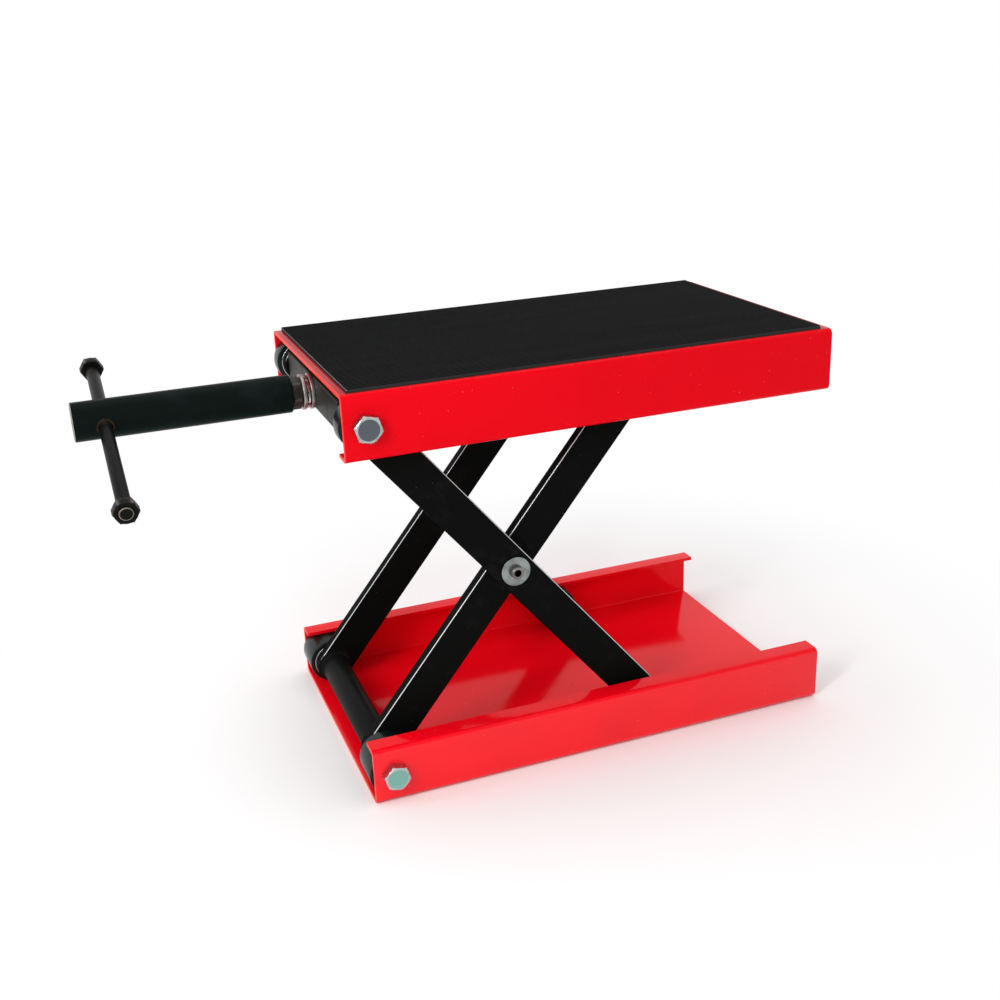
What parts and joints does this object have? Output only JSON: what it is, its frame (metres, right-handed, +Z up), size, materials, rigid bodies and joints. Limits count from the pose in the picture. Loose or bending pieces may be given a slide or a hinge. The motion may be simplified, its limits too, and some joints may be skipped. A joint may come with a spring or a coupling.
{
  "type": "scissor lift jack",
  "caption": "Low scissor jack with a wide rubber-topped deck on crossed arms, raised by a horizontal screw turned with a sliding T-bar.",
  "frame": {"origin": "middle of the base's underside, with the handle left out of account", "axes": "+Z is up from the base to the deck, +X runs along the jack away from the handle, -Y is the near side"},
  "size_m": [0.574, 0.2647, 0.331],
  "materials": {
    "red_paint": "gloss red enamel on folded sheet steel",
    "black_arm_paint": "satin black paint on flat bar",
    "black_part_paint": "satin black paint on turned and square parts",
    "zinc": "bright zinc plate",
    "pin_steel": "turned steel",
    "screw_steel": "greased steel",
    "bearing_steel": "polished bearing steel",
    "collar_steel": "dark oiled steel",
    "handle_paint": "glossy black paint",
    "roller_plastic": "matt black",
    "mat_rubber": "ribbed black rubber"
  },
  "bodies": {
    "base": {"base_channel": "red_paint", "lower_pivot_spacers": "roller_plastic", "lower_pivot_washers": "zinc"},
    "inner_arms": {"inner_arm_near": "black_arm_paint", "inner_arm_far": "black_arm_paint", "lower_cross_bar": "black_part_paint", "lower_pivot_bolts": "zinc", "centre_pins": "pin_steel", "centre_washers": "zinc", "arm_spacer_washers": "zinc"},
    "outer_arms": {"outer_arm_near": "black_arm_paint", "outer_arm_far": "black_arm_paint", "lower_roller_pins": "pin_steel", "lower_roller_washers": "zinc"},
    "deck": {"deck_channel": "red_paint", "rubber_mat": "mat_rubber", "thrust_block": "black_part_paint", "upper_pivot_bolts": "zinc", "upper_pivot_spacers": "roller_plastic", "upper_pivot_washers": "zinc", "bearing_fixed_race": "bearing_steel"},
    "screw": {"drive_screw": "screw_steel", "screw_keeper_ring": "pin_steel", "bearing_turning_race": "bearing_steel", "collar_nut": "collar_steel", "handle_tube": "handle_paint"},
    "t_bar": {"t_bar": "handle_paint", "t_bar_nuts": "handle_paint"},
    "nut_block": {"nut_block": "black_part_paint", "upper_roller_washers": "zinc"},
    "bearing_cage": {"bearing_cage": "bearing_steel", "bearing_balls": "bearing_steel"},
    "upper_roller_near": {"upper_roller_near": "roller_plastic"},
    "upper_roller_far": {"upper_roller_far": "roller_plastic"},
    "lower_roller_near": {"lower_roller_near": "roller_plastic"},
    "lower_roller_far": {"lower_roller_far": "roller_plastic"}
  },
  "joints": [
    {"name": "lift", "type": "hinge", "parent": "base", "child": "inner_arms", "pos_m": [-0.183, 0, 0.02325], "axis": [0, -1, 0], "range_deg": [-40.7, 4.8]},
    {"name": "cross", "type": "hinge", "parent": "inner_arms", "child": "outer_arms", "pos_m": [-0.06811, 0, 0.16312], "axis": [0, -1, 0], "range_deg": [-9.6, 81.4]},
    {"name": "deck_level", "type": "hinge", "parent": "outer_arms", "child": "deck", "pos_m": [-0.183, 0, 0.30298], "axis": [0, -1, 0], "range_deg": [-40.7, 4.8]},
    {"name": "nut_level", "type": "hinge", "parent": "inner_arms", "child": "nut_block", "pos_m": [0.04677, 0, 0.30298], "axis": [0, -1, 0], "range_deg": [-4.8, 40.7]},
    {"name": "screw_spin", "type": "hinge", "parent": "deck", "child": "screw", "pos_m": [-0.2, 0, 0.30298], "axis": [1, 0, 0], "continuous": true},
    {"name": "cage_spin", "type": "hinge", "parent": "deck", "child": "bearing_cage", "pos_m": [-0.2, 0, 0.30298], "axis": [1, 0, 0], "continuous": true},
    {"name": "t_bar_slide", "type": "slide", "parent": "screw", "child": "t_bar", "axis": [0, 0.9799, 0.1994], "range_m": [-0.0689, 0.1149]},
    {"name": "upper_roller_near_spin", "type": "hinge", "parent": "nut_block", "child": "upper_roller_near", "pos_m": [0.04677, 0, 0.30298], "axis": [0, -1, 0], "continuous": true},
    {"name": "upper_roller_far_spin", "type": "hinge", "parent": "nut_block", "child": "upper_roller_far", "pos_m": [0.04677, 0, 0.30298], "axis": [0, -1, 0], "continuous": true},
    {"name": "lower_roller_near_spin", "type": "hinge", "parent": "outer_arms", "child": "lower_roller_near", "pos_m": [0.04677, 0, 0.02325], "axis": [0, -1, 0], "continuous": true},
    {"name": "lower_roller_far_spin", "type": "hinge", "parent": "outer_arms", "child": "lower_roller_far", "pos_m": [0.04677, 0, 0.02325], "axis": [0, -1, 0], "continuous": true}
  ],
  "couplings": [
    {"joint": "cross", "follows": "lift", "ratio": -2},
    {"joint": "deck_level", "follows": "lift", "ratio": 1},
    {"joint": "nut_level", "follows": "lift", "ratio": -1}
  ]
}
